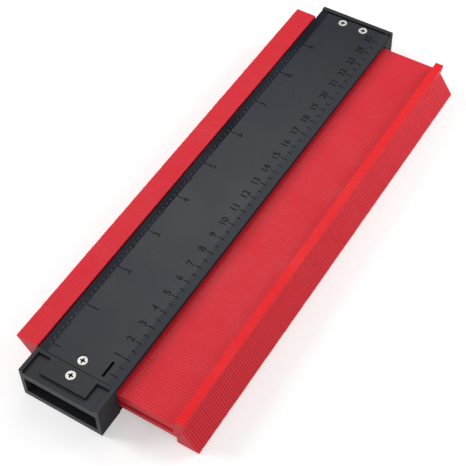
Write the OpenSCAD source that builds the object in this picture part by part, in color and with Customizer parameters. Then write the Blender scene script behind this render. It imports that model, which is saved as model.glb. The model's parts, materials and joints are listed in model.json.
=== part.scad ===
// Contour gauge: a stack of thin leaves that slide across a two-part frame, with a ruler on its top plate.
// Millimetres. X runs along the ruler from the socket end, Y across it, Z up from the face it rests on.
// The origin is the middle of the frame's underside. The leaves are drawn at the stop where they rest.

/* [Leaf stack] */
// Leaf packs along the frame, each pack sliding by itself
packs = 43; // [10:1:50]
// Leaves in one pack
leaves_per_pack = 4; // [1:1:6]
// Distance from one leaf to the next
leaf_pitch = 1.5; // [1.2:0.05:2.5]
// How far a leaf slides between its two stops
leaf_travel = 29.7; // [10:0.1:60]

/* [Leaf profile] */
// Height of the leaf's shaft, which runs through the frame
shaft_h = 10; // [8:0.1:16]
// How far a head stands above and below the shaft
head_rise = 4.24; // [2:0.02:8]
// Length of a head, from its inner wall to its tip
head_len = 11.62; // [9:0.02:20]
// Width of the flat ridge on a head
ridge_w = 4.55; // [2:0.05:7]
// Height of the ridge's outer wall, down to the slanted face
ridge_wall_h = 6.36; // [3:0.02:8]
// How far the ridge's outer wall leans in under its corner
ridge_lean = 1.06; // [0:0.02:2]
// Height of the relief groove along one side of the shaft
relief_h = 3; // [1:0.1:6]
// Depth of the relief groove
relief_depth = 0.6; // [0.2:0.05:0.7]
// How far the relief groove lies below the middle of the shaft
relief_drop = 0.6; // [0:0.1:2]
// Length of shaft left plain at each end of the relief groove
relief_end = 1.6; // [0.5:0.1:10]
// Diameter of the ejector mark on a head
dimple_d = 1.2; // [0.6:0.1:3]

/* [Ruler plate and floor] */
// Width of the ruler plate and of the floor below the leaves
plate_w = 43.6; // [36:0.2:80]
// Width of the flat between the two bevels
flat_w = 33; // [20:0.2:36]
// How far a bevel drops from the flat to the edge
bevel_drop = 1; // [0.2:0.05:1.8]
// Thickness of the plate and of the floor
slab_t = 2.4; // [2:0.05:5]
// Height of the ribs that guide the leaves
rib_h = 2.275; // [1.5:0.025:6]
// Width of a guide rib
rib_w = 2.2; // [1:0.1:4]
// From the edge of the plate in to a guide rib
rib_inset = 2.8; // [1:0.1:6]
// Width of the friction strips that press on the leaves
strip_w = 12; // [4:0.5:22]

/* [Socket end] */
// Length of the box that holds the socket
box_len = 14.1; // [12:0.1:40]
// How far the sides of the box and of the far block stand in from the plate's edge
end_inset = 0.1; // [0:0.05:1]
// Thickness of the box's side walls
box_wall = 2; // [1:0.1:4]
// Depth of the socket
socket_depth = 11; // [5:0.1:11.5]
// Thickness of the wall under the socket
socket_floor = 3.6; // [1.5:0.1:6]
// Height of the socket
socket_h = 10.6; // [5:0.1:11]

/* [End bridge] */
// Thickness of the bridge's tongue on the roof of the box
bridge_t = 1.7; // [1:0.05:2.4]
// Width of the tongue
bridge_w = 25.4; // [14:0.2:30]
// From the socket's mouth to the front of the tongue
tongue_inset = 3.3; // [1:0.1:6]
// Width of the bar across the box, beside the plate
bar_w = 1.9; // [1:0.1:2.5]
// How far the tab reaches under the plate
tab_len = 11.5; // [8:0.1:30]

/* [Far end] */
// Length of the block at the far end
block_len = 8.45; // [7:0.05:30]
// Thickness of the lip that the plate ends against
lip_t = 2.4; // [1:0.1:4]
// Width of the groove between plate and lip
groove_w = 1.2; // [0.4:0.1:2]
// From the edge of the plate in to the end of that groove
groove_inset = 3.5; // [2:0.1:12]

/* [Screws] */
// Diameter of a screw's shank
screw_d = 2.5; // [1.6:0.1:3]
// Diameter of a screw's head
head_d = 4.9; // [4:0.1:6]
// How far a head lies below the surface
head_sink = 0.45; // [0.1:0.05:0.5]
// Length of the two screws at the socket end
near_screw_len = 4; // [3:0.1:4.2]
// Length of the two screws at the far end
end_screw_len = 9.6; // [6:0.1:14]
// Length of the cross in a screw's head
cross_len = 2.6; // [1.5:0.1:3.2]
// From the socket's mouth to the screw in the tongue
bridge_screw_x = 9.8; // [7:0.1:10.5]
// From the plate's near edge to the screw in the plate
plate_screw_inset = 4.6; // [4:0.1:7]
// From the leaf stack's end wall to the two far screws
end_screw_inset = 1.9; // [1.8:0.05:5]
// Distance between the two far screws
end_screw_spacing = 12.6; // [8:0.1:30]

/* [Scale] */
// From the plate's near edge to the zero of both scales
scale_inset = 5.02; // [2:0.02:20]
// Width of a scale mark
mark_w = 0.45; // [0.2:0.05:0.8]
// Depth of a scale mark
mark_depth = 0.35; // [0.1:0.05:0.6]
// From the plate's edge to the outer end of every mark
mark_margin = 3.4; // [1:0.1:4.5]
// From the plate's edge to the inner end of a centimetre mark
cm_reach = 7.1; // [6.5:0.1:10]
// From the plate's edge to the inner end of a half-centimetre mark
half_cm_reach = 5.6; // [4.8:0.1:6.4]
// From the plate's edge to the inner end of an inch mark
inch_reach = 8.9; // [6.5:0.1:12]
// From the plate's edge to the inner end of a half-inch mark
half_inch_reach = 5.7; // [5.5:0.1:6.4]
// From the plate's edge to the inner end of an eighth-inch mark
eighth_reach = 4.9; // [4.7:0.1:5.4]
// Length of the slot beside the zero of the centimetre scale
slot_len = 8.7; // [4:0.1:12]
// Width of that slot
slot_w = 1.4; // [0.8:0.1:2]
// From the plate's near edge to that slot
slot_inset = 2.2; // [1:0.1:4]

/* [Fits] */
// Gap between neighbouring leaves
leaf_gap = 0.05; // [0.02:0.01:0.2]
// Gap between the stack and the walls at its two ends
stack_end_gap = 0.25; // [0.1:0.05:1]
// Gap between the leaves and what guides them above and below
guide_gap = 0.25; // [0.1:0.05:0.5]
// Gap left between a head and the frame at either stop
stop_gap = 0.8; // [0.3:0.05:2]
// Open seam between the plate and the pieces at its ends
seam_gap = 0.12; // [0.05:0.01:0.4]
// Gap round the bridge and round a screw
fit_gap = 0.05; // [0.02:0.01:0.2]
// Room left in a hole past a screw's tip
tip_gap = 0.5; // [0.2:0.1:1]

/* [Hidden] */
round_fn = 48;
dimple_sides = 8;
past = 1;
cm = 10;
inch = 25.4;

end_w = plate_w - 2 * end_inset;

leaf_t = leaf_pitch - leaf_gap;
stack_len = packs * leaves_per_pack * leaf_pitch - leaf_gap;
stack_x = box_len + stack_end_gap;
end_wall_x = stack_x + stack_len + stack_end_gap;
frame_len = end_wall_x + block_len;

guide_h = rib_h + guide_gap;
frame_h = 2 * (slab_t + guide_h) + shaft_h;
plate_under_z = frame_h - slab_t;
rib_tip_z = plate_under_z - rib_h;
roof_z = frame_h - bridge_t;

plate_x = box_len + seam_gap;
plate_end_x = frame_len - lip_t - seam_gap;
strip_x = box_len + tab_len + box_wall;
strip_end_x = end_wall_x - box_wall;

shaft_len = plate_w + leaf_travel + 2 * stop_gap;
shaft_half = shaft_len / 2;
leaf_half_h = shaft_h / 2 + head_rise;
leaf_rest_y = plate_w / 2 + stop_gap - shaft_half;
dimple_y = shaft_half + dimple_d * 1.5;

head_h = (head_d - screw_d) / 2;
cross_w = cross_len * 0.3;
cross_depth = head_h * 0.6;
plate_screw_x = plate_x + plate_screw_inset;
end_screw_x = end_wall_x + end_screw_inset;

zero_x = plate_x + scale_inset;
cm_marks = floor((end_wall_x - zero_x) / cm);
inch_marks = floor((end_wall_x - zero_x) / inch);

function pack_name(k) = str("leaf_pack_", k < 10 ? "0" : "", k);

// Moves what is measured from the socket's mouth to the origin in the middle of the frame.
module from_mouth() {
    translate([-frame_len / 2, 0, 0]) children();
}

// A block from x0 to x1 and z0 to z1, with its width centred on the frame.
module block(x0, x1, width, z0, z1) {
    translate([x0, -width / 2, z0]) cube([x1 - x0, width, z1 - z0]);
}

// Draws a profile of (Y, Z) points and gives it length along X.
module along_x(x0, x1) {
    translate([x0, 0, 0]) rotate([90, 0, 90]) linear_extrude(x1 - x0) children();
}

// The slab shared by the plate and the floor, outer face down, with a bevel along each edge.
module slab_profile() {
    polygon([
        [-flat_w / 2, 0], [flat_w / 2, 0],
        [plate_w / 2, bevel_drop], [plate_w / 2, slab_t],
        [-plate_w / 2, slab_t], [-plate_w / 2, bevel_drop]
    ]);
}

// The two ribs that stand on the slab and guide the leaves.
module rib_profile() {
    for (side = [-1, 1])
        translate([side * (plate_w / 2 - rib_inset - rib_w / 2) - rib_w / 2, slab_t]) square([rib_w, rib_h]);
}

// Turns a profile that is drawn outer face down into one that is outer face up, at the top of the frame.
module at_top() {
    translate([0, frame_h]) mirror([0, 1]) children();
}

// One countersunk screw, hanging from the top surface, with a cross in its head.
module screw(length) {
    color("ivory") translate([0, 0, -head_sink]) difference() {
        union() {
            translate([0, 0, -head_h]) cylinder(h = head_h, d1 = screw_d, d2 = head_d, $fn = round_fn);
            translate([0, 0, -length]) cylinder(h = length - head_h, d = screw_d, $fn = round_fn);
        }
        for (turn = [0, 90])
            rotate(turn) translate([-cross_len / 2, -cross_w / 2, -cross_depth])
                cube([cross_len, cross_w, cross_depth + past]);
    }
}

// The hole for that screw: a countersink at the top surface over a round hole.
module screw_hole(length) {
    sink_d = head_d + 2 * (head_sink + fit_gap);
    hole_d = screw_d + 2 * fit_gap;
    sink_h = (sink_d - hole_d) / 2;
    translate([0, 0, -sink_h]) cylinder(h = sink_h, d1 = hole_d, d2 = sink_d, $fn = round_fn);
    translate([0, 0, -head_sink - length - tip_gap])
        cylinder(h = head_sink + length + tip_gap - sink_h, d = hole_d, $fn = round_fn);
    cylinder(h = past, d = sink_d, $fn = round_fn);
}

module at_bridge_screw() {
    translate([bridge_screw_x, 0, frame_h]) children();
}

module at_plate_screw() {
    translate([plate_screw_x, 0, frame_h]) children();
}

module at_end_screw(side) {
    translate([end_screw_x, side * end_screw_spacing / 2, frame_h]) children();
}

// Height of the plate's top at a distance from the middle line: flat first, then down the bevel.
function plate_top(y) = frame_h - bevel_drop * max(0, y - flat_w / 2) / (plate_w / 2 - flat_w / 2);

// Cuts one scale mark that keeps its depth over flat and bevel. The reach is measured in from the plate's edge.
module mark(x, side, reach) {
    inner_y = plate_w / 2 - reach;
    outer_y = plate_w / 2 - mark_margin;
    bend = inner_y < flat_w / 2 && outer_y > flat_w / 2 ? [flat_w / 2] : [];
    floor_line = [for (y = concat([inner_y], bend, [outer_y])) [side * y, plate_top(y) - mark_depth]];
    along_x(x - mark_w / 2, x + mark_w / 2)
        polygon(concat(floor_line, [[side * outer_y, frame_h + past], [side * inner_y, frame_h + past]]));
}

// Centimetres along the edge at -Y, inches along the edge at +Y, both from the same zero.
module scale_marks() {
    for (k = [0:2 * cm_marks])
        mark(zero_x + k * cm / 2, -1, k % 2 == 0 ? cm_reach : half_cm_reach);
    for (k = [0:8 * inch_marks])
        mark(zero_x + k * inch / 8, 1, k % 8 == 0 ? inch_reach : k % 4 == 0 ? half_inch_reach : eighth_reach);
}

// The lower moulding: floor and ribs under the leaves, the socket box at one end and the block at the other.
module lower_frame() {
    color("dimgray") difference() {
        union() {
            along_x(box_len, end_wall_x) {
                slab_profile();
                rib_profile();
            }
            block(0, box_len, end_w, 0, frame_h);
            block(end_wall_x, frame_len, end_w, 0, plate_under_z);
            block(frame_len - lip_t, frame_len, end_w, plate_under_z, frame_h);
        }
        block(-past, socket_depth, end_w - 2 * box_wall, socket_floor, socket_floor + socket_h);
        block(-past, box_len + past, end_w - 2 * box_wall, roof_z, frame_h + past);
        block(box_len - bar_w - fit_gap, box_len + past, bridge_w + 2 * fit_gap, rib_tip_z - fit_gap, frame_h);
        at_bridge_screw() screw_hole(near_screw_len);
        for (side = [-1, 1]) at_end_screw(side) screw_hole(end_screw_len);
    }
}

// The upper moulding: the ruler, bevelled along both edges, with guide ribs under it.
module ruler_plate() {
    color("dimgray") difference() {
        union() {
            along_x(plate_x, plate_end_x) at_top() slab_profile();
            along_x(plate_x, end_wall_x - stack_end_gap) at_top() rib_profile();
        }
        scale_marks();
        translate([plate_x + slot_inset, -(bridge_w + slot_w) / 2, plate_under_z - past])
            cube([slot_len, slot_w, slab_t + 2 * past]);
        block(plate_end_x - groove_w, plate_end_x + past, plate_w - 2 * groove_inset, plate_under_z - past,
              frame_h + past);
        at_plate_screw() screw_hole(near_screw_len);
        for (side = [-1, 1]) at_end_screw(side) screw_hole(end_screw_len);
    }
}

// The T-shaped bridge: its tongue is screwed to the roof of the box and its tab to the plate from below.
module end_bridge() {
    color("dimgray") difference() {
        union() {
            block(tongue_inset, box_len, bridge_w, roof_z, frame_h);
            block(box_len - bar_w, box_len, end_w - 2 * (box_wall + fit_gap), roof_z, frame_h);
            block(box_len - bar_w, box_len, bridge_w, rib_tip_z, roof_z);
            block(box_len - bar_w, box_len + tab_len, bridge_w, rib_tip_z, plate_under_z);
        }
        at_bridge_screw() screw_hole(near_screw_len);
        at_plate_screw() screw_hole(near_screw_len);
    }
}

module bridge_screw() {
    at_bridge_screw() screw(near_screw_len);
}

module plate_screw() {
    at_plate_screw() screw(near_screw_len);
}

module end_screw(side) {
    at_end_screw(side) screw(end_screw_len);
}

// The strips that brake the leaves, one glued under the plate and one on the floor.
module upper_friction_strip() {
    color("darkslategray") block(strip_x, strip_end_x, strip_w, rib_tip_z, plate_under_z);
}

module lower_friction_strip() {
    color("darkslategray") block(strip_x, strip_end_x, strip_w, slab_t, slab_t + rib_h);
}

// Half of the leaf's outline about its centre: ridge up, tip down. The other half is the same one turned round.
head_outline = [
    [-shaft_half, shaft_h / 2],
    [-shaft_half, leaf_half_h],
    [-shaft_half - ridge_w, leaf_half_h],
    [-shaft_half - ridge_w + ridge_lean, leaf_half_h - ridge_wall_h],
    [-shaft_half - head_len, -leaf_half_h],
    [-shaft_half, -leaf_half_h],
    [-shaft_half, -shaft_h / 2]
];

// One leaf, centred on its middle, with a relief groove and two ejector marks on the side that faces the socket.
module leaf() {
    difference() {
        along_x(0, leaf_t) polygon(concat(head_outline, [for (p = head_outline) -p]));
        translate([0, 0, -relief_drop])
            block(-past, relief_depth, shaft_len - 2 * relief_end, -relief_h / 2, relief_h / 2);
        for (side = [-1, 1])
            along_x(-past, relief_depth) translate([side * dimple_y, side * dimple_d])
                circle(d = dimple_d, $fn = dimple_sides);
    }
}

module leaf_pack(k) {
    color("crimson")
        for (j = [0:leaves_per_pack - 1])
            translate([stack_x + ((k - 1) * leaves_per_pack + j) * leaf_pitch, leaf_rest_y, frame_h / 2]) leaf();
}

from_mouth() lower_frame();
from_mouth() ruler_plate();
from_mouth() end_bridge();
from_mouth() bridge_screw();
from_mouth() plate_screw();
from_mouth() end_screw(1);  // end_screw_inch_side
from_mouth() end_screw(-1);  // end_screw_cm_side
from_mouth() upper_friction_strip();
from_mouth() lower_friction_strip();
for (k = [1:packs])
    from_mouth() leaf_pack(k);
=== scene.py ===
"""Looks of a contour gauge: a stack of red leaves that slide across a black frame with a ruler on top.

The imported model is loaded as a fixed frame. Each operator makes one group of pieces round its nodes:
the black mouldings with their numerals, the screws, the friction strips, the leaves, and the stage.
Lengths are metres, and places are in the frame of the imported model.
"""

import json
import math
import random

import bmesh
import bpy
from bpy.props import FloatProperty, FloatVectorProperty, IntProperty, PointerProperty
from mathutils import Matrix, Vector

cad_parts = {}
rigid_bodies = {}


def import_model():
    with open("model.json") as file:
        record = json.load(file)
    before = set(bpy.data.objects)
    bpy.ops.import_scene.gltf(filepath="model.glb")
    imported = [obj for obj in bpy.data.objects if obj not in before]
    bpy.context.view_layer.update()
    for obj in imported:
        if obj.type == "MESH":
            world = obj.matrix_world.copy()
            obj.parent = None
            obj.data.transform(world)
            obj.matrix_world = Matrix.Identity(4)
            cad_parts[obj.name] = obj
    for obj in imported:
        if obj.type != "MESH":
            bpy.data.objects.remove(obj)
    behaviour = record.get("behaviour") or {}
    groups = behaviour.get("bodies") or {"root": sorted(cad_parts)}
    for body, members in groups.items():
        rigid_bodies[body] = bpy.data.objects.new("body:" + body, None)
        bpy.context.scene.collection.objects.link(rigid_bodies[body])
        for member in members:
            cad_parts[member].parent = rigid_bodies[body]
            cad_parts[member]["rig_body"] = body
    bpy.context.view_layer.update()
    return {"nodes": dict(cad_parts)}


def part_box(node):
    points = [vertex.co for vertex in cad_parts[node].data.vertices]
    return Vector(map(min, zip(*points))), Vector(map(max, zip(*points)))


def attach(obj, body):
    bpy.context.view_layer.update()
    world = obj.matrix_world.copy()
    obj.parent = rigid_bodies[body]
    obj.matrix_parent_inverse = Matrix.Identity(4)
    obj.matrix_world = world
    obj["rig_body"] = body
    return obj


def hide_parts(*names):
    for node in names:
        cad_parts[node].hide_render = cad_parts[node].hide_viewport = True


bl_info = {
    "name": "Contour Gauge Looks",
    "version": (1, 0, 0),
    "blender": (4, 5, 0),
    "location": "3D View > Sidebar > Gauge",
    "description": "Rounds, engraves and finishes the pieces of a contour gauge",
    "category": "Object",
}

MM = 0.001
CENTIMETRE = 10 * MM
INCH = 25.4 * MM

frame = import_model()

MOULDINGS = ("lower_frame", "ruler_plate", "end_bridge")
SCREWS = ("bridge_screw", "plate_screw", "end_screw_inch_side", "end_screw_cm_side")
STRIPS = ("upper_friction_strip", "lower_friction_strip")
LEAF_PACKS = sorted(node for node in frame["nodes"] if node.startswith("leaf_pack_"))
LEAVES_PER_PACK = 4

FRAME_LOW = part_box("lower_frame")[0]
PLATE_LOW, PLATE_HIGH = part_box("ruler_plate")
STACK_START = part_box(LEAF_PACKS[0])[0].x
LEAF_PITCH = (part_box(LEAF_PACKS[1])[0].x - STACK_START) / LEAVES_PER_PACK

LEAF_LOW, LEAF_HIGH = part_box(LEAF_PACKS[0])
LEAF_MIDDLE = (LEAF_LOW + LEAF_HIGH) / 2

ROUNDED = "rounded_edge"
# Mask of painted shade: faces in engravings, recesses, the socket, the long sides and rims, the screw
# crosses and the leaf grooves, darkened where shade falls.
PAINTED_SHADE = "sunk_face"
# Mask of painted highlight: the sloped outer tips of the inch marks, made pale as bright specks.
PAINTED_GLINT = "pale_tip"
MERGE_DISTANCE = 0.001 * MM
FONT_MERGE = 1e-5
FLAT_ANGLE = math.radians(0.5)
SHARP_ANGLE = math.radians(35)

# How strongly the painted shade counts on faces that are only partly in shadow.
NUMERAL_SHADE = 0.45
RELIEF_SHADE = 0.75
SIDE_SHADE = 0.5
SOCKET_SHADE = 0.8

# Bounds that tell the faces and edges of the mouldings apart.
NEARLY = 0.1 * MM
MARK_BOTTOM = 0.2 * MM
MARK_DEEPEST = 0.6 * MM
SIDE_BAND = 0.3 * MM
BOX_WALL = 1.0 * MM
SOCKET_MOUTH = 0.5 * MM
SOCKET_FLOOR = 3.0 * MM
SOCKET_ROOF = 15.0 * MM
RECESS_DEPTH = 1.7 * MM
FACING = 0.9
UPRIGHT = 0.3

# Bounds that tell the faces and edges of a leaf apart.
RIM_LEAN = 0.5
RIM_WIDTH = 0.8 * LEAF_PITCH
CHAMFER_LEAST = 0.3
CHAMFER_MOST = 0.9
SLANT_OUTWARD = 0.35
SLANT_UPWARD = 0.25
RELIEF_FROM = 0.3 * MM
RELIEF_TO = 1.0 * MM
LEAF_MARGIN = LEAF_PITCH / 10

# Heights above and below a leaf's middle between which the colour changes to that of the ridge.
CREST_FROM = 8.7 * MM
CREST_TO = 9.1 * MM

FRAME_ROUGHNESS = 0.42
RULER_ROUGHNESS = 0.3
PATCH_ROUGHER = 0.09
PATCH_LIGHTER = 1.6
CUT_DULLER = 0.5
SHADE_DULLER = 0.4
CROSS_SHADE_DULLER = 0.25
BLACK_SPECULAR = 0.37
RED_SPECULAR = 0.3
OWN_SHADE = 0.55
CLOUDED_ZINC = 0.86
PORE_DARKER = 0.4
RUB_SHARE = 0.6
DUST_SHARE = 0.12
DUST_GREY = (0.3, 0.3, 0.3)
RUBBED_ZINC = (0.93, 0.92, 0.88)
CARD_GREY = (0.01, 0.01, 0.011, 1.0)
WHITE = (1.0, 1.0, 1.0, 1.0)

FLOOR_GLOW_NEAR = 0.4
FLOOR_GLOW_FAR = 0.9
MIRRORED_GLOW = 0.7
SENSOR_WIDTH = 36.0


def length_setting(name, description, default, **limits):
    """A length, in metres."""
    return FloatProperty(
        name=name,
        description=description,
        default=default,
        precision=5,
        unit="LENGTH",
        **limits,
    )


def place_setting(name, description, default):
    """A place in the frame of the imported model."""
    return FloatVectorProperty(
        name=name,
        description=description,
        default=default,
        precision=6,
        subtype="TRANSLATION",
        unit="LENGTH",
    )


def angle_setting(name, description, default):
    """An angle, in radians."""
    return FloatProperty(name=name, description=description, default=default, subtype="ANGLE")


def power_setting(name, description, default):
    """The power of a lamp, in watts."""
    return FloatProperty(name=name, description=description, default=default, min=0.0, unit="POWER")


def colour_setting(name, description, default):
    """A plain colour."""
    return FloatVectorProperty(
        name=name,
        description=description,
        default=default,
        min=0.0,
        max=1.0,
        subtype="COLOR",
    )


class GaugeEdges(bpy.types.PropertyGroup):
    """How far the edges of the pieces are rounded."""

    moulding: length_setting(
        "Moulding edges",
        "Rounding along the edges of the black mouldings",
        0.28 * MM,
        min=0.05 * MM,
        max=0.6 * MM,
    )
    plate_rim: length_setting(
        "Plate rim",
        "Rounding along the long edges where plate and floor meet their sides",
        0.4 * MM,
        min=0.1 * MM,
        max=1.0 * MM,
    )
    leaf: length_setting(
        "Leaf edges",
        "Chamfer round the outline of each leaf",
        0.13 * MM,
        min=0.02 * MM,
        max=0.4 * MM,
    )
    screw: length_setting(
        "Screw edges",
        "Rounding of a screw's rim and of its cross",
        0.1 * MM,
        min=0.02 * MM,
        max=0.2 * MM,
    )
    stagger: length_setting(
        "Leaf stagger",
        "How far a leaf may lie ahead of or behind its neighbours",
        0.06 * MM,
        min=0.0,
        max=0.3 * MM,
    )


class GaugeScale(bpy.types.PropertyGroup):
    """The numerals that are engraved beside the marks of both scales."""

    zero: length_setting("Zero", "From the plate's near edge to the zero of both scales", 5.02 * MM)
    centimetres: IntProperty(
        name="Centimetres",
        description="Last numeral of the centimetre scale",
        default=25,
        min=1,
    )
    inches: IntProperty(
        name="Inches",
        description="Last numeral of the inch scale",
        default=9,
        min=1,
    )
    centimetre_foot: length_setting(
        "Centimetre numerals",
        "Place of the foot of the centimetre numerals across the plate",
        -14.1 * MM,
    )
    centimetre_height: length_setting(
        "Centimetre numeral height",
        "Height of a centimetre numeral",
        3.9 * MM,
    )
    inch_foot: length_setting(
        "Inch numerals",
        "Place of the foot of the inch numerals across the plate",
        9.5 * MM,
    )
    inch_height: length_setting("Inch numeral height", "Height of an inch numeral", 3.4 * MM)
    depth: length_setting("Engraving depth", "Depth of the engraved numerals", 0.35 * MM)
    boldness: FloatProperty(
        name="Boldness",
        description="How far a numeral's strokes are thickened, as a share of the font's size",
        default=0.018,
        min=0.0,
        max=0.06,
    )


class GaugeFinish(bpy.types.PropertyGroup):
    """Colours of the plastics, the screws and the foam, with the painted shade and painted highlight on
    them.
    """

    frame_black: colour_setting(
        "Frame black",
        "Colour of the lower frame and the bridge",
        (0.0165, 0.0173, 0.0212),
    )
    ruler_black: colour_setting("Ruler black", "Colour of the ruler plate", (0.0092, 0.0115, 0.0178))
    black_rubbed: colour_setting(
        "Rubbed black",
        "Colour of the black plastic where its edges are rubbed",
        (0.045, 0.048, 0.056),
    )
    # Painted shade: the near-black that the shade mask paints into numerals, scale marks, the recess, the
    # socket and along the long sides and rims.
    cut: colour_setting(
        "Engraved black",
        "Colour in the bottom of numerals and scale marks",
        (0.002, 0.002, 0.003),
    )
    # Painted highlight: the pale grey of the bright specks on the inch marks' sloped tips.
    pale: colour_setting("Pale tips", "Colour of the worn tips of the inch marks", (0.18, 0.18, 0.18))
    red: colour_setting("Red plastic", "Colour of the leaves", (0.77, 0.026, 0.0435))
    red_deep: colour_setting("Deep red", "Colour of the darkest leaves", (0.755, 0.0248, 0.0415))
    # Painted shade, for the relief grooves and the chamfers beside the slanted faces.
    red_shade: colour_setting(
        "Shaded red",
        "Colour in the relief grooves and in the grooves between the slanted faces",
        (0.5, 0.009, 0.018),
    )
    red_rubbed: colour_setting("Rubbed red", "Colour of the leaves' rubbed edges", (0.75, 0.033, 0.047))
    # A brighter, more saturated red on the ridge crests.
    red_crest: colour_setting("Crest red", "Colour of the ridges, which no frame rubs", (0.95, 0.01, 0.014))
    zinc: colour_setting("Zinc plating", "Colour of the screws", (0.83, 0.825, 0.785))
    # Painted shade in the cross of each screw.
    grime: colour_setting("Grime", "Colour in the cross of a screw", (0.03, 0.03, 0.02))
    foam: colour_setting("Foam", "Colour of the friction strips", (0.035, 0.036, 0.038))


class GaugeStage(bpy.types.PropertyGroup):
    """Camera, lamps and floor."""

    azimuth: angle_setting(
        "Camera azimuth",
        "Turn of the camera round the gauge, zero looking along +Y",
        math.radians(-56.798),
    )
    elevation: angle_setting(
        "Camera elevation",
        "Height of the camera above the horizon",
        math.radians(51.543),
    )
    roll: angle_setting(
        "Camera roll",
        "Turn of the camera about its own line of sight",
        math.radians(-1.946),
    )
    aim: place_setting(
        "Camera aim",
        "Point that the camera looks at",
        (-7.1663 * MM, -7.7946 * MM, -7.82 * MM),
    )
    distance: length_setting("Camera distance", "From the aim point to the camera", 617.213 * MM)
    lens: FloatProperty(
        name="Focal length",
        description="Focal length of the camera, in millimetres on a 36 mm sensor",
        default=92.986,
    )
    room: FloatProperty(
        name="Room light",
        description="Strength of the white room round the gauge",
        default=0.45,
        min=0.0,
    )
    panel_power: power_setting("Panel power", "Power of the soft panel above the far end", 1.6)
    key_power: power_setting("Key power", "Power of the soft lamp beyond the inch side", 4.8)
    fill_power: power_setting(
        "Fill power",
        "Power of the low soft lamp on the centimetre side, by the far end",
        2.2,
    )
    back_card: place_setting(
        "Back card",
        "Foot of the dark card behind the gauge, out of the picture",
        (0.423, 0.453, 0.0),
    )
    back_card_size: FloatVectorProperty(
        name="Back card size",
        description="Width and height of the dark card behind the gauge",
        size=2,
        default=(1.2, 0.64),
        unit="LENGTH",
    )
    floor: colour_setting("Floor", "Colour of the floor", (0.8, 0.8, 0.8))


def add_node(tree, kind, inputs=None, **settings):
    """Adds a node to a tree. Inputs are given by name or number, as a value or as a socket to link."""
    node = tree.nodes.new(kind)
    for name, value in settings.items():
        setattr(node, name, value)
    for key, value in (inputs or {}).items():
        if isinstance(value, bpy.types.NodeSocket):
            tree.links.new(value, node.inputs[key])
        else:
            node.inputs[key].default_value = value
    return node


def add_group(tree, group, inputs):
    """Places a shared node group in a tree."""
    return add_node(tree, "ShaderNodeGroup", inputs, node_tree=group)


def mixed_colour(tree, share, first, second):
    """Mixes two colours, each a socket or a plain RGB, and returns the socket of the result."""
    colours = {
        6: first if isinstance(first, bpy.types.NodeSocket) else (*first, 1.0),
        7: second if isinstance(second, bpy.types.NodeSocket) else (*second, 1.0),
    }
    return add_node(tree, "ShaderNodeMix", {0: share, **colours}, data_type="RGBA").outputs[2]


def calculated(tree, operation, first, second):
    """One step of arithmetic, returned as a socket."""
    return add_node(tree, "ShaderNodeMath", {0: first, 1: second}, operation=operation).outputs[0]


def spread(tree, value, low, high, to_low=0.0, to_high=1.0):
    """Spreads the values between low and high over a new range, and returns the socket."""
    limits = {"Value": value, "From Min": low, "From Max": high, "To Min": to_low, "To Max": to_high}
    return add_node(tree, "ShaderNodeMapRange", limits).outputs[0]


def noise(tree, place, scale, detail, roughness=0.5):
    """Fractal noise, returned as a socket."""
    inputs = {"Vector": place, "Scale": scale, "Detail": detail, "Roughness": roughness}
    return add_node(tree, "ShaderNodeTexNoise", inputs).outputs[0]


def add_bump(tree, surface, height, strength, distance):
    """Bumps a surface by a height."""
    inputs = {"Strength": strength, "Distance": distance, "Height": height}
    bump = add_node(tree, "ShaderNodeBump", inputs)
    tree.links.new(bump.outputs[0], surface.inputs["Normal"])


def new_group(name, inputs, outputs):
    """Starts a shader node group and returns it with the nodes for its inputs and outputs."""
    group = bpy.data.node_groups.new(name, "ShaderNodeTree")
    for socket, kind in inputs.items():
        group.interface.new_socket(socket, in_out="INPUT", socket_type=kind)
    for socket, kind in outputs.items():
        group.interface.new_socket(socket, in_out="OUTPUT", socket_type=kind)
    return group, group.nodes.new("NodeGroupInput"), group.nodes.new("NodeGroupOutput")


def moulded_grain():
    """Fine spark-eroded grain, and the wide patches where a moulding cooled glossier."""
    name = "Moulded Grain"
    if name in bpy.data.node_groups:
        return bpy.data.node_groups[name]
    sizes = {"Vector": "NodeSocketVector", "Grain": "NodeSocketFloat", "Patches": "NodeSocketFloat"}
    group, given, made = new_group(name, sizes, {"Height": "NodeSocketFloat", "Patch": "NodeSocketFloat"})
    place = given.outputs["Vector"]
    fine = noise(group, place, given.outputs["Grain"], detail=3.0, roughness=0.6)
    wide = noise(group, place, given.outputs["Patches"], detail=2.0)
    group.links.new(fine, made.inputs["Height"])
    group.links.new(spread(group, wide, low=0.32, high=0.68), made.inputs["Patch"])
    return group


def edge_rub():
    """Where hands and benches have rubbed the rounded edges: broken up, never a clean line."""
    name = "Edge Rub"
    if name in bpy.data.node_groups:
        return bpy.data.node_groups[name]
    sizes = {"Vector": "NodeSocketVector", "Rounded": "NodeSocketFloat", "Breakup": "NodeSocketFloat"}
    group, given, made = new_group(name, sizes, {"Mask": "NodeSocketFloat"})
    broken = noise(group, given.outputs["Vector"], given.outputs["Breakup"], detail=4.0)
    patchy = spread(group, broken, low=0.35, high=0.7, to_low=0.15)
    group.links.new(calculated(group, "MULTIPLY", patchy, given.outputs["Rounded"]), made.inputs["Mask"])
    return group


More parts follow.
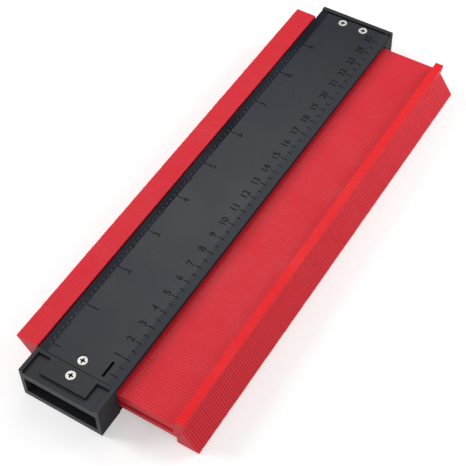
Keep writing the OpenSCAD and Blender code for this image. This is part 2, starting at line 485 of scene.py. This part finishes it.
def settled_dust():
    """Fine dust on the faces that look up, thicker in some patches."""
    name = "Settled Dust"
    if name in bpy.data.node_groups:
        return bpy.data.node_groups[name]
    group, given, made = new_group(name, {"Vector": "NodeSocketVector"}, {"Mask": "NodeSocketFloat"})
    normal = add_node(group, "ShaderNodeNewGeometry").outputs["Normal"]
    upward = add_node(group, "ShaderNodeSeparateXYZ", {0: normal}).outputs["Z"]
    place = given.outputs["Vector"]
    specks = spread(group, noise(group, place, scale=1800.0, detail=3.0), low=0.52, high=0.75)
    drifts = spread(group, noise(group, place, scale=45.0, detail=2.0), low=0.35, high=0.7)
    thick = calculated(group, "MULTIPLY", specks, drifts)
    lying = calculated(group, "MULTIPLY", thick, spread(group, upward, low=0.5, high=0.95))
    group.links.new(lying, made.inputs["Mask"])
    return group


def new_material(name):
    """Starts a material and returns it with its tree, its surface shader and the Object coordinates."""
    material = bpy.data.materials.new(name)
    material.use_nodes = True
    tree = material.node_tree
    tree.nodes.clear()
    surface = tree.nodes.new("ShaderNodeBsdfPrincipled")
    output = tree.nodes.new("ShaderNodeOutputMaterial")
    tree.links.new(surface.outputs[0], output.inputs["Surface"])
    place = tree.nodes.new("ShaderNodeTexCoord").outputs["Object"]
    return material, tree, surface, place


def face_mask(tree, name):
    """A mask that a piece carries on its own faces."""
    return add_node(tree, "ShaderNodeAttribute", attribute_name=name).outputs["Fac"]


def rubbed_edges(tree, place, breakup):
    """A mask for the rubbed parts of a piece's rounded edges."""
    inputs = {"Vector": place, "Rounded": face_mask(tree, ROUNDED), "Breakup": breakup}
    return add_group(tree, edge_rub(), inputs).outputs["Mask"]


def black_plastic(name, finish, black, roughness):
    """Black moulded plastic: satin grain, glossier patches, rubbed edges, dust, painted shade in the
    engraving, the recess, the socket and along the sides and rims, and painted highlights on the inch
    marks' tips.
    """
    if name in bpy.data.materials:
        return bpy.data.materials[name]
    material, tree, surface, place = new_material(name)
    grain = add_group(tree, moulded_grain(), {"Vector": place, "Grain": 2600.0, "Patches": 38.0}).outputs
    dust = add_group(tree, settled_dust(), {"Vector": place}).outputs["Mask"]
    lighter = [PATCH_LIGHTER * part for part in black]
    patched = mixed_colour(tree, grain["Patch"], black, lighter)
    worn = calculated(tree, "MULTIPLY", rubbed_edges(tree, place, breakup=420.0), RUB_SHARE)
    rubbed = mixed_colour(tree, worn, patched, finish.black_rubbed)
    dusty = calculated(tree, "MULTIPLY", dust, DUST_SHARE)
    dusted = mixed_colour(tree, dusty, rubbed, DUST_GREY)
    # Painted shade on the faces the shade mask marks, then the painted highlight on the inch marks' tips.
    sunk = face_mask(tree, PAINTED_SHADE)
    dark = mixed_colour(tree, sunk, dusted, finish.cut)
    colour = mixed_colour(tree, face_mask(tree, PAINTED_GLINT), dark, finish.pale)
    tree.links.new(colour, surface.inputs["Base Color"])
    rougher = roughness + PATCH_ROUGHER
    rough = spread(tree, grain["Patch"], low=0.0, high=1.0, to_low=roughness, to_high=rougher)
    rough = calculated(tree, "ADD", rough, dusty)
    duller = calculated(tree, "MULTIPLY", sunk, CUT_DULLER)
    tree.links.new(calculated(tree, "ADD", rough, duller), surface.inputs["Roughness"])
    surface.inputs["Specular IOR Level"].default_value = BLACK_SPECULAR
    add_bump(tree, surface, grain["Height"], strength=0.22, distance=0.02 * MM)
    return material


def red_plastic(finish):
    """Red moulded plastic: each leaf a shade of its own, with flow streaks along it, paler edges, a
    brighter red on the ridge crests, and painted shade in the relief grooves and beside the slanted faces.
    """
    name = "Leaf Red"
    if name in bpy.data.materials:
        return bpy.data.materials[name]
    material, tree, surface, place = new_material(name)
    grain = add_group(tree, moulded_grain(), {"Vector": place, "Grain": 1900.0, "Patches": 60.0}).outputs
    along, across, up = add_node(tree, "ShaderNodeSeparateXYZ", {0: place}).outputs
    count = calculated(tree, "DIVIDE", calculated(tree, "SUBTRACT", along, STACK_START), LEAF_PITCH)
    leaf = calculated(tree, "FLOOR", count, 0.0)
    shade = add_node(tree, "ShaderNodeTexWhiteNoise", {"W": leaf}, noise_dimensions="1D").outputs["Value"]
    own = calculated(tree, "MULTIPLY", shade, OWN_SHADE)
    stretched = add_node(tree, "ShaderNodeMapping", {"Vector": place, "Scale": (650.0, 22.0, 120.0)})
    flow = noise(tree, stretched.outputs[0], scale=1.0, detail=3.0)
    streaks = spread(tree, flow, low=0.3, high=0.7, to_low=0.0, to_high=0.45)
    uneven = calculated(tree, "ADD", own, streaks)
    body = mixed_colour(tree, uneven, finish.red, finish.red_deep)
    # The ridge crests, on the centimetre side of the top and the inch side of the bottom, take a brighter,
    # more saturated red.
    height = calculated(tree, "SUBTRACT", up, LEAF_MIDDLE.z)
    outer = spread(tree, calculated(tree, "ABSOLUTE", height, 0.0), CREST_FROM, CREST_TO)
    ridge_side = calculated(tree, "MULTIPLY", height, calculated(tree, "SUBTRACT", across, LEAF_MIDDLE.y))
    crest = calculated(tree, "MULTIPLY", outer, calculated(tree, "LESS_THAN", ridge_side, 0.0))
    evened = spread(tree, uneven, low=0.0, high=1.0, to_low=1.0, to_high=0.7)
    crest_share = calculated(tree, "MULTIPLY", crest, evened)
    body = mixed_colour(tree, crest_share, body, finish.red_crest)
    worn = calculated(tree, "MULTIPLY", rubbed_edges(tree, place, breakup=300.0), RUB_SHARE)
    rubbed = mixed_colour(tree, worn, body, finish.red_rubbed)
    # Painted shade in the relief grooves and the chamfers beside the slanted faces.
    sunk = face_mask(tree, PAINTED_SHADE)
    tree.links.new(mixed_colour(tree, sunk, rubbed, finish.red_shade), surface.inputs["Base Color"])
    rough = spread(tree, grain["Patch"], low=0.0, high=1.0, to_low=0.36, to_high=0.48)
    duller = calculated(tree, "MULTIPLY", sunk, SHADE_DULLER)
    tree.links.new(calculated(tree, "ADD", rough, duller), surface.inputs["Roughness"])
    surface.inputs["Specular IOR Level"].default_value = RED_SPECULAR
    add_bump(tree, surface, grain["Height"], strength=0.15, distance=0.02 * MM)
    return material


def zinc_plate(finish):
    """Bright zinc plating: pale, slightly warm, with cloudy patches, and painted shade in the cross."""
    name = "Screw Zinc"
    if name in bpy.data.materials:
        return bpy.data.materials[name]
    material, tree, surface, place = new_material(name)
    grain = add_group(tree, moulded_grain(), {"Vector": place, "Grain": 6000.0, "Patches": 700.0}).outputs
    dull = [CLOUDED_ZINC * part for part in finish.zinc]
    cloudy = mixed_colour(tree, grain["Patch"], finish.zinc, dull)
    bright = mixed_colour(tree, rubbed_edges(tree, place, breakup=1500.0), cloudy, RUBBED_ZINC)
    # Painted shade in the cross.
    sunk = face_mask(tree, PAINTED_SHADE)
    tree.links.new(mixed_colour(tree, sunk, bright, finish.grime), surface.inputs["Base Color"])
    surface.inputs["Metallic"].default_value = 1.0
    rough = spread(tree, grain["Patch"], low=0.0, high=1.0, to_low=0.42, to_high=0.56)
    duller = calculated(tree, "MULTIPLY", sunk, CROSS_SHADE_DULLER)
    tree.links.new(calculated(tree, "ADD", rough, duller), surface.inputs["Roughness"])
    add_bump(tree, surface, grain["Height"], strength=0.12, distance=0.01 * MM)
    return material


def strip_foam(finish):
    """Dense dark foam with open cells."""
    name = "Friction Foam"
    if name in bpy.data.materials:
        return bpy.data.materials[name]
    material, tree, surface, place = new_material(name)
    cells = add_node(tree, "ShaderNodeTexVoronoi", {"Vector": place, "Scale": 1400.0})
    pores = spread(tree, cells.outputs["Distance"], low=0.05, high=0.5)
    dark = [PORE_DARKER * part for part in finish.foam]
    tree.links.new(mixed_colour(tree, pores, dark, finish.foam), surface.inputs["Base Color"])
    rough = spread(tree, pores, low=0.0, high=1.0, to_low=1.0, to_high=0.85)
    tree.links.new(rough, surface.inputs["Roughness"])
    add_bump(tree, surface, pores, strength=0.6, distance=0.2 * MM)
    return material


def card_black():
    """Matt black card for the stage."""
    name = "Card Black"
    if name in bpy.data.materials:
        return bpy.data.materials[name]
    material = bpy.data.materials.new(name)
    material.use_nodes = True
    tree = material.node_tree
    tree.nodes.clear()
    matt = add_node(tree, "ShaderNodeBsdfDiffuse", {"Color": CARD_GREY})
    add_node(tree, "ShaderNodeOutputMaterial", {"Surface": matt.outputs[0]})
    return material


def whole_faces(node):
    """A bmesh of a CAD node, with its loose triangles merged and joined into whole flat faces."""
    bm = bmesh.new()
    bm.from_mesh(frame["nodes"][node].data)
    bmesh.ops.remove_doubles(bm, verts=bm.verts, dist=MERGE_DISTANCE)
    bmesh.ops.dissolve_limit(bm, angle_limit=FLAT_ANGLE, verts=bm.verts, edges=bm.edges)
    for mask in (ROUNDED, PAINTED_SHADE, PAINTED_GLINT):
        bm.faces.layers.float.new(mask)
    for face in bm.faces:
        face.smooth = False
    return bm


def mark_faces(bm, mask, wanted, amount=1.0):
    """Sets a mask on the faces that are wanted."""
    layer = bm.faces.layers.float[mask]
    for face in bm.faces:
        if wanted(face):
            face[layer] = amount


def round_edges(bm, wanted, width, segments, mask=ROUNDED):
    """Rounds the sharp edges that are wanted, and sets a mask on the new faces."""
    layer = bm.faces.layers.float[mask]
    sharp = [
        edge
        for edge in bm.edges
        if edge.is_manifold and edge.calc_face_angle() > SHARP_ANGLE and wanted(edge)
    ]
    if not sharp:
        raise RuntimeError("no sharp edge was found to round")
    made = bmesh.ops.bevel(
        bm,
        geom=sharp,
        offset=width,
        offset_type="OFFSET",
        segments=segments,
        profile=0.5,
        affect="EDGES",
        material=-1,
        clamp_overlap=True,
        loop_slide=False,
    )
    for face in made["faces"]:
        face[layer] = 1.0
        face.smooth = segments > 1


def finished_piece(bm, name, node, material):
    """Makes a bmesh the piece that stands for a CAD node, riding on the node's body."""
    mesh = bpy.data.meshes.new(name)
    bm.to_mesh(mesh)
    bm.free()
    mesh.materials.append(material)
    piece = bpy.data.objects.new(name, mesh)
    bpy.context.scene.collection.objects.link(piece)
    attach(piece, frame["nodes"][node]["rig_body"])
    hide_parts(node)
    return piece


def numeral(value, height, boldness):
    """A bmesh of one flat numeral, one unit thick, foot on the X axis and middle on the Y axis."""
    curve = bpy.data.curves.new("numeral", "FONT")
    curve.body = str(value)
    curve.extrude = 0.5
    curve.offset = boldness
    curve.resolution_u = 4
    text = bpy.data.objects.new("numeral", curve)
    bpy.context.scene.collection.objects.link(text)
    graph = bpy.context.evaluated_depsgraph_get()
    mesh = bpy.data.meshes.new_from_object(text.evaluated_get(graph))
    bpy.data.objects.remove(text)
    bpy.data.curves.remove(curve)
    bm = bmesh.new()
    bm.from_mesh(mesh)
    bpy.data.meshes.remove(mesh)
    bmesh.ops.remove_doubles(bm, verts=bm.verts, dist=FONT_MERGE)
    bmesh.ops.recalc_face_normals(bm, faces=bm.faces)
    across = [vert.co.x for vert in bm.verts]
    up = [vert.co.y for vert in bm.verts]
    middle = Vector(((min(across) + max(across)) / 2, min(up), 0))
    size = height / (max(up) - min(up))
    bmesh.ops.translate(bm, verts=bm.verts, vec=-middle)
    bmesh.ops.scale(bm, verts=bm.verts, vec=(size, size, 1.0))
    return bm


def numeral_cutter(scale):
    """One object that holds all the numerals of both scales, as deep as they are engraved. Its faces carry
    part of the painted shade, which the engraving hands on to the numerals' floors and walls.
    """
    rows = (
        (scale.centimetres, CENTIMETRE, scale.centimetre_foot, scale.centimetre_height),
        (scale.inches, INCH, scale.inch_foot, scale.inch_height),
    )
    mesh = bpy.data.meshes.new("numeral_cutter")
    gathered = bmesh.new()
    for last, step, foot, height in rows:
        for value in range(1, last + 1):
            bm = numeral(value, height, scale.boldness)
            place = Vector((PLATE_LOW.x + scale.zero + value * step, foot, PLATE_HIGH.z))
            bmesh.ops.scale(bm, verts=bm.verts, vec=(1.0, 1.0, 2 * scale.depth))
            bmesh.ops.translate(bm, verts=bm.verts, vec=place)
            bm.to_mesh(mesh)
            bm.free()
            gathered.from_mesh(mesh)
    gathered.faces.layers.float.new(PAINTED_SHADE)
    mark_faces(gathered, PAINTED_SHADE, lambda face: True, NUMERAL_SHADE)
    gathered.to_mesh(mesh)
    gathered.free()
    cutter = bpy.data.objects.new("numeral_cutter", mesh)
    bpy.context.scene.collection.objects.link(cutter)
    return cutter


def score_flat(bm, scale):
    """Splits the plate's flat through and between the numerals, so that engraving leaves small faces."""
    rows = (scale.centimetre_foot + scale.centimetre_height / 2, scale.inch_foot + scale.inch_height / 2)
    zero = PLATE_LOW.x + scale.zero
    cuts = [((0, row, 0), (0, 1, 0)) for row in rows]
    for count in range(scale.centimetres + 1):
        cuts.append(((zero + (count + 0.5) * CENTIMETRE, 0, 0), (1, 0, 0)))
    top = PLATE_HIGH.z - MERGE_DISTANCE
    for place, direction in cuts:
        flat = [face for face in bm.faces if all(vert.co.z > top for vert in face.verts)]
        edges = {edge for face in flat for edge in face.edges}
        verts = {vert for face in flat for vert in face.verts}
        bmesh.ops.bisect_plane(
            bm,
            geom=flat + list(edges) + list(verts),
            dist=MERGE_DISTANCE,
            plane_co=place,
            plane_no=direction,
        )


def engrave(piece, cutter):
    """Cuts one object out of a piece and removes the cutter."""
    cut = piece.modifiers.new("Engraving", "BOOLEAN")
    cut.operation = "DIFFERENCE"
    cut.solver = "MANIFOLD"
    cut.object = cutter
    graph = bpy.context.evaluated_depsgraph_get()
    mesh = bpy.data.meshes.new_from_object(
        piece.evaluated_get(graph),
        preserve_all_data_layers=True,
        depsgraph=graph,
    )
    piece.modifiers.remove(cut)
    bm = bmesh.new()
    bm.from_mesh(mesh)
    bmesh.ops.connect_verts_concave(bm, faces=bm.faces)
    bm.to_mesh(mesh)
    bm.free()
    plain, piece.data = piece.data, mesh
    mesh.name = plain.name
    bpy.data.meshes.remove(plain)
    shape = cutter.data
    bpy.data.objects.remove(cutter)
    bpy.data.meshes.remove(shape)


class GAUGE_OT_mouldings(bpy.types.Operator):
    """Rounds the three black mouldings with painted shade and highlights, and engraves the numerals of both
    scales
    """

    bl_idname = "gauge.mouldings"
    bl_label = "Black Mouldings"
    bl_options = {"REGISTER", "UNDO"}

    shortest_edge: length_setting(
        "Shortest edge",
        "Edges shorter than this, as round a screw hole, stay sharp",
        0.9 * MM,
    )
    marks_inner: length_setting(
        "Marks from",
        "From the middle line to the inner end of the longest scale mark",
        12.85 * MM,
    )
    marks_outer: length_setting(
        "Marks to",
        "From the middle line to the outer end of the scale marks",
        18.45 * MM,
    )
    longest_mark_edge: length_setting(
        "Longest mark edge",
        "Edges longer than this aren't part of a scale mark",
        5.6 * MM,
    )
    flat_width: length_setting(
        "Flat width",
        "Width of the ruler plate's flat between its two bevels",
        33.0 * MM,
    )
    bevel_slope: FloatProperty(
        name="Bevel slope",
        description="How far a bevel drops for each millimetre out from the flat",
        default=1 / 5.3,
        precision=4,
    )
    ramp: length_setting("Mark ramp", "Length of the sloped outer end of an inch mark", 1.2 * MM)

    def depth(self, place):
        """How far a point lies below the ruler plate's top."""
        outside = max(0.0, abs(place.y) - self.flat_width / 2)
        return PLATE_HIGH.z - outside * self.bevel_slope - place.z

    def in_mark(self, face):
        """True for a face inside a scale mark."""
        place = face.calc_center_median()
        in_band = self.marks_inner < abs(place.y) < self.marks_outer
        return in_band and NEARLY < self.depth(place) < MARK_DEEPEST

    def is_end(self, vert):
        """True for a vertex at the outer end of an inch mark."""
        at_end = abs(vert.co.y - self.marks_outer) < NEARLY
        return at_end and -NEARLY < self.depth(vert.co) < MARK_DEEPEST

    def slope_ends(self, bm):
        """Paints shade into the scale marks, paints a highlight on the outer ends of the inch marks so that
        they show as bright specks along the bevel, and slopes those ends.
        """
        mark_faces(bm, PAINTED_SHADE, lambda face: self.in_mark(face) and not all(map(self.is_end, face.verts)))
        mark_faces(bm, PAINTED_GLINT, lambda face: all(map(self.is_end, face.verts)))
        foot = [vert for vert in bm.verts if self.is_end(vert) and self.depth(vert.co) > MARK_BOTTOM]
        if not foot:
            raise RuntimeError("no inch mark was found")
        bmesh.ops.translate(bm, verts=foot, vec=(0, -self.ramp, 0))

    @staticmethod
    def on_side(face):
        """True for an upright face along one of the frame's long sides, which gets painted shade and is
        left duller.
        """
        return abs(face.normal.y) > FACING and abs(face.calc_center_median().y) > PLATE_HIGH.y - SIDE_BAND

    @staticmethod
    def in_socket(face):
        """True for a face inside the socket box, which gets painted shade."""
        place = face.calc_center_median()
        behind_mouth = FRAME_LOW.x + SOCKET_MOUTH < place.x < PLATE_LOW.x
        between_walls = abs(place.y) < PLATE_HIGH.y - BOX_WALL
        return behind_mouth and between_walls and SOCKET_FLOOR < place.z < SOCKET_ROOF

    @staticmethod
    def in_recess(face):
        """True for an upright face round the recess in the socket box's roof, which lies in shadow and gets
        painted shade.
        """
        place = face.calc_center_median()
        sunk = PLATE_HIGH.z - place.z
        inside = place.x < PLATE_LOW.x and abs(place.y) < PLATE_HIGH.y - BOX_WALL
        return inside and abs(face.normal.z) < UPRIGHT and 0 < sunk < RECESS_DEPTH

    def is_rim(self, edge):
        """True for a long edge where the bevel of plate or floor meets its side."""
        ends = [vert.co for vert in edge.verts]
        at_side = all(abs(end.y) > PLATE_HIGH.y - NEARLY for end in ends)
        low = self.bevel_slope * (PLATE_HIGH.y - self.flat_width / 2) + NEARLY
        outer = all(end.z > PLATE_HIGH.z - low or end.z < low for end in ends)
        return at_side and outer and edge.calc_length() > 0.5 * (PLATE_HIGH.x - PLATE_LOW.x)

    def is_mark(self, edge):
        """True for an edge of a scale mark, which stays crisp."""
        in_band = all(self.marks_inner < abs(vert.co.y) < self.marks_outer for vert in edge.verts)
        return in_band and edge.calc_length() < self.longest_mark_edge

    def wanted(self, edge):
        """True for an edge that gets rounded."""
        return edge.calc_length() > self.shortest_edge and not self.is_mark(edge)

    def execute(self, context):
        scene = context.scene
        finish = scene.gauge_finish
        slots = {"lower_frame": "frame_black", "ruler_plate": "ruler_black", "end_bridge": "frame_black"}
        finishes = {
            "frame_black": black_plastic("Frame Black", finish, finish.frame_black, FRAME_ROUGHNESS),
            "ruler_black": black_plastic("Ruler Black", finish, finish.ruler_black, RULER_ROUGHNESS),
        }
        for node in MOULDINGS:
            bm = whole_faces(node)
            if node == "ruler_plate":
                self.slope_ends(bm)
            else:
                # Painted shade round the recess and inside the socket.
                mark_faces(bm, PAINTED_SHADE, self.in_recess)
                mark_faces(bm, PAINTED_SHADE, self.in_socket, SOCKET_SHADE)
            # Painted shade along the long sides.
            mark_faces(bm, PAINTED_SHADE, self.on_side, SIDE_SHADE)
            if node != "end_bridge":
                # The rounded rims of plate and floor get painted shade.
                round_edges(bm, self.is_rim, scene.gauge_edges.plate_rim, segments=2, mask=PAINTED_SHADE)
            round_edges(bm, self.wanted, scene.gauge_edges.moulding, segments=2)
            if node == "ruler_plate":
                score_flat(bm, scene.gauge_scale)
            bmesh.ops.triangulate(bm, faces=bm.faces)
            piece = finished_piece(bm, f"{node}_rounded", node, finishes[slots[node]])
            if node == "ruler_plate":
                engrave(piece, numeral_cutter(scene.gauge_scale))
        return {"FINISHED"}


class GAUGE_OT_screws(bpy.types.Operator):
    """Rounds and plates the four screws, with painted shade in their crosses"""

    bl_idname = "gauge.screws"
    bl_label = "Screws"
    bl_options = {"REGISTER", "UNDO"}

    cross_reach: length_setting("Cross reach", "From a screw's axis to the end of its cross", 1.4 * MM)
    cross_depth: length_setting("Cross depth", "Depth of a screw's cross, with a little to spare", 0.8 * MM)

    def execute(self, context):
        scene = context.scene
        zinc = zinc_plate(scene.gauge_finish)
        for node in SCREWS:
            low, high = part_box(node)
            axis = (low + high) / 2

            # Faces in a screw's cross, which get painted shade.
            def in_cross(face, axis=axis, top=high.z):
                place = face.calc_center_median()
                sunk = top - place.z
                near = math.hypot(place.x - axis.x, place.y - axis.y) < self.cross_reach
                return near and NEARLY < sunk < self.cross_depth

            bm = whole_faces(node)
            mark_faces(bm, PAINTED_SHADE, in_cross)
            round_edges(bm, lambda edge: True, scene.gauge_edges.screw, segments=2)
            finished_piece(bm, f"{node}_plated", node, zinc)
        return {"FINISHED"}


class GAUGE_OT_strips(bpy.types.Operator):
    """Gives the two friction strips their foam"""

    bl_idname = "gauge.strips"
    bl_label = "Friction Strips"
    bl_options = {"REGISTER", "UNDO"}

    def execute(self, context):
        foam = strip_foam(context.scene.gauge_finish)
        for node in STRIPS:
            frame["nodes"][node].material_slots[0].material = foam
        return {"FINISHED"}


class GAUGE_OT_leaves(bpy.types.Operator):
    """Chamfers the leaves, paints shade into their relief grooves and beside their slanted faces, and lets
    each lie a little ahead of or behind its neighbours
    """

    bl_idname = "gauge.leaves"
    bl_label = "Leaves"
    bl_options = {"REGISTER", "UNDO"}

    seed: IntProperty(
        name="Seed",
        description="Picks how the leaves lie",
        default=11,
    )

    @staticmethod
    def is_outline(edge):
        """True for an edge between a leaf's broad side and its rim."""
        rims = [face for face in edge.link_faces if abs(face.normal.x) < RIM_LEAN]
        if len(rims) != 1:
            return False
        along = [vert.co.x for vert in rims[0].verts]
        return max(along) - min(along) > RIM_WIDTH

    @staticmethod
    def beside_slant(face):
        """True for a chamfer along the slanted face of a head, which gets painted shade."""
        across, outward, upward = (abs(part) for part in face.normal)
        chamfer = CHAMFER_LEAST < across < CHAMFER_MOST
        return chamfer and outward > SLANT_OUTWARD and upward > SLANT_UPWARD

    @staticmethod
    def in_relief(face):
        """True for a face in the bottom of a relief groove, which gets painted shade."""
        place = face.calc_center_median()
        depth = (place.x - STACK_START) % LEAF_PITCH
        return face.normal.x < -FACING and RELIEF_FROM < depth < RELIEF_TO

    def execute(self, context):
        scene = context.scene
        chance = random.Random(self.seed)
        red = red_plastic(scene.gauge_finish)
        for node in LEAF_PACKS:
            bm = whole_faces(node)
            mark_faces(bm, PAINTED_SHADE, self.in_relief, RELIEF_SHADE)
            round_edges(bm, self.is_outline, scene.gauge_edges.leaf, segments=1)
            bm.normal_update()
            mark_faces(bm, PAINTED_SHADE, self.beside_slant)
            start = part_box(node)[0].x
            for leaf in range(LEAVES_PER_PACK):
                low = start + leaf * LEAF_PITCH - LEAF_MARGIN
                verts = [vert for vert in bm.verts if low < vert.co.x < low + LEAF_PITCH]
                shift = chance.uniform(-1, 1) * scene.gauge_edges.stagger
                bmesh.ops.translate(bm, verts=verts, vec=(0, shift, 0))
            finished_piece(bm, f"{node}_leaves", node, red)
        return {"FINISHED"}


class GAUGE_OT_stage(bpy.types.Operator):
    """Lays the floor, lights the room and sets the camera"""

    bl_idname = "gauge.stage"
    bl_label = "Stage"
    bl_options = {"REGISTER", "UNDO"}

    floor_size: length_setting("Floor size", "Width and length of the floor", 8.0)
    glow_from: length_setting(
        "Glow from",
        "Distance from the gauge's middle at which the floor starts to glow whiter",
        0.35,
    )
    glow_to: length_setting(
        "Glow to",
        "Distance from the gauge's middle from which the floor is white in any shadow",
        0.9,
    )
    panel_place: place_setting(
        "Panel place",
        "Middle of the panel, which faces the gauge",
        (0.586, 0.338, 0.867),
    )
    key_place: place_setting(
        "Key place",
        "Middle of the key lamp, which faces the gauge",
        (-0.3, 0.78, 0.6),
    )
    fill_place: place_setting(
        "Fill place",
        "Middle of the fill lamp, which faces the gauge",
        (0.5, -0.42, 0.28),
    )
    panel_size: length_setting("Panel size", "Width and height of the panel", 0.5)
    key_size: length_setting("Key size", "Width and height of the key lamp", 0.4)
    fill_size: length_setting("Fill size", "Width and height of the fill lamp", 0.35)
    back_card_turn: angle_setting(
        "Back card turn",
        "Turn of the dark card behind the gauge",
        math.radians(-43),
    )

    def lay_floor(self, stage):
        """A white floor that shows white to the camera and in reflections, and keeps the shadow."""
        bm = bmesh.new()
        bmesh.ops.create_grid(bm, x_segments=1, y_segments=1, size=self.floor_size / 2)
        mesh = bpy.data.meshes.new("floor")
        bm.to_mesh(mesh)
        bm.free()
        floor = bpy.data.objects.new("floor", mesh)
        bpy.context.scene.collection.objects.link(floor)
        material = bpy.data.materials.new("Floor White")
        material.use_nodes = True
        tree = material.node_tree
        tree.nodes.clear()
        matt = add_node(tree, "ShaderNodeBsdfDiffuse", {"Color": (*stage.floor, 1.0)})
        path = add_node(tree, "ShaderNodeLightPath").outputs
        mirrored = calculated(tree, "MULTIPLY", path["Is Glossy Ray"], MIRRORED_GLOW)
        seen = calculated(tree, "MAXIMUM", path["Is Camera Ray"], mirrored)
        seen = calculated(tree, "MAXIMUM", seen, path["Is Transmission Ray"])
        place = add_node(tree, "ShaderNodeTexCoord").outputs["Object"]
        away = add_node(tree, "ShaderNodeVectorMath", {0: place}, operation="LENGTH").outputs["Value"]
        level = spread(tree, away, self.glow_from, self.glow_to, FLOOR_GLOW_NEAR, FLOOR_GLOW_FAR)
        glow = add_node(tree, "ShaderNodeEmission", {"Strength": calculated(tree, "MULTIPLY", seen, level)})
        both = add_node(tree, "ShaderNodeAddShader", {0: matt.outputs[0], 1: glow.outputs[0]})
        add_node(tree, "ShaderNodeOutputMaterial", {"Surface": both.outputs[0]})
        mesh.materials.append(material)

    def light_room(self, stage):
        """A white room all round."""
        world = bpy.data.worlds.new("White Room")
        bpy.context.scene.world = world
        world.use_nodes = True
        tree = world.node_tree
        tree.nodes.clear()
        path = add_node(tree, "ShaderNodeLightPath").outputs
        seen = calculated(tree, "MAXIMUM", path["Is Camera Ray"], path["Is Glossy Ray"])
        seen = calculated(tree, "MAXIMUM", seen, path["Is Transmission Ray"])
        strength = spread(tree, seen, low=0.0, high=1.0, to_low=stage.room, to_high=1.0)
        room = add_node(tree, "ShaderNodeBackground", {"Color": WHITE, "Strength": strength})
        add_node(tree, "ShaderNodeOutputWorld", {"Surface": room.outputs[0]})

    def hang_lamp(self, name, place, power, size, reflected):
        """A square soft lamp that faces the gauge. Its own reflection can be left out."""
        lamp = bpy.data.lights.new(name, "AREA")
        lamp.shape = "SQUARE"
        lamp.size = size
        lamp.energy = power
        lit = bpy.data.objects.new(name, lamp)
        lit.visible_glossy = reflected
        turn = Vector(place).to_track_quat("Z", "Y").to_matrix().to_4x4()
        lit.matrix_world = Matrix.Translation(Vector(place)) @ turn
        bpy.context.scene.collection.objects.link(lit)

    def hang_card(self, name, foot, turn, size):
        """A dark card that stands out of the picture and darkens what the bevels reflect."""
        width, height = size
        bm = bmesh.new()
        bmesh.ops.create_grid(bm, x_segments=1, y_segments=1, size=0.5)
        bmesh.ops.scale(bm, verts=bm.verts, vec=(width, height, 1.0))
        bmesh.ops.translate(bm, verts=bm.verts, vec=(0, height / 2, 0))
        facing = Matrix.Rotation(turn, 4, "Z") @ Matrix.Rotation(math.pi / 2, 4, "X")
        bmesh.ops.transform(bm, verts=bm.verts, matrix=facing)
        bmesh.ops.translate(bm, verts=bm.verts, vec=Vector(foot))
        mesh = bpy.data.meshes.new(name)
        bm.to_mesh(mesh)
        bm.free()
        mesh.materials.append(card_black())
        card = bpy.data.objects.new(name, mesh)
        card.visible_camera = False
        bpy.context.scene.collection.objects.link(card)

    def set_camera(self, stage):
        """A camera at the photograph's viewing angle."""
        flat = math.cos(stage.elevation)
        sine, cosine = math.sin(stage.azimuth), math.cos(stage.azimuth)
        back = Vector((sine * flat, -cosine * flat, math.sin(stage.elevation)))
        level = Vector((cosine, sine, 0))
        right = Matrix.Rotation(stage.roll, 3, back) @ level
        turn = Matrix((right, back.cross(right), back)).transposed().to_4x4()
        lens = bpy.data.cameras.new("camera")
        lens.sensor_width = SENSOR_WIDTH
        lens.lens = stage.lens
        lens.clip_start = 0.01
        lens.clip_end = 50.0
        camera = bpy.data.objects.new("camera", lens)
        camera.matrix_world = Matrix.Translation(Vector(stage.aim) + back * stage.distance) @ turn
        bpy.context.scene.collection.objects.link(camera)
        bpy.context.scene.camera = camera

    def execute(self, context):
        stage = context.scene.gauge_stage
        context.scene.view_settings.view_transform = "Standard"
        self.lay_floor(stage)
        self.light_room(stage)
        self.hang_lamp("panel", self.panel_place, stage.panel_power, self.panel_size, reflected=True)
        self.hang_lamp("key", self.key_place, stage.key_power, self.key_size, reflected=False)
        self.hang_lamp("fill", self.fill_place, stage.fill_power, self.fill_size, reflected=False)
        self.hang_card("back_card", stage.back_card, self.back_card_turn, stage.back_card_size)
        self.set_camera(stage)
        return {"FINISHED"}


class GAUGE_PT_sidebar(bpy.types.Panel):
    """Lists the steps that make the gauge, with their sizes and colours"""

    bl_idname = "GAUGE_PT_sidebar"
    bl_label = "Contour Gauge"
    bl_space_type = "VIEW_3D"
    bl_region_type = "UI"
    bl_category = "Gauge"

    def draw(self, context):
        layout = self.layout
        for step in STEPS:
            layout.operator(step.bl_idname)
        for pointer, group in GROUPS.items():
            box = layout.box()
            for name in group.__annotations__:
                box.prop(getattr(context.scene, pointer), name)


STEPS = (GAUGE_OT_mouldings, GAUGE_OT_screws, GAUGE_OT_strips, GAUGE_OT_leaves, GAUGE_OT_stage)
GROUPS = {
    "gauge_edges": GaugeEdges,
    "gauge_scale": GaugeScale,
    "gauge_finish": GaugeFinish,
    "gauge_stage": GaugeStage,
}


def register():
    for group in GROUPS.values():
        bpy.utils.register_class(group)
    for step in STEPS:
        bpy.utils.register_class(step)
    bpy.utils.register_class(GAUGE_PT_sidebar)
    for pointer, group in GROUPS.items():
        setattr(bpy.types.Scene, pointer, PointerProperty(type=group))


def unregister():
    for pointer in GROUPS:
        delattr(bpy.types.Scene, pointer)
    bpy.utils.unregister_class(GAUGE_PT_sidebar)
    for step in reversed(STEPS):
        bpy.utils.unregister_class(step)
    for group in reversed(GROUPS.values()):
        bpy.utils.unregister_class(group)


def main():
    """Makes every piece and the stage."""
    register()
    bpy.ops.gauge.mouldings()
    bpy.ops.gauge.screws()
    bpy.ops.gauge.strips()
    bpy.ops.gauge.leaves()
    bpy.ops.gauge.stage()


if __name__ == "__main__":
    main()
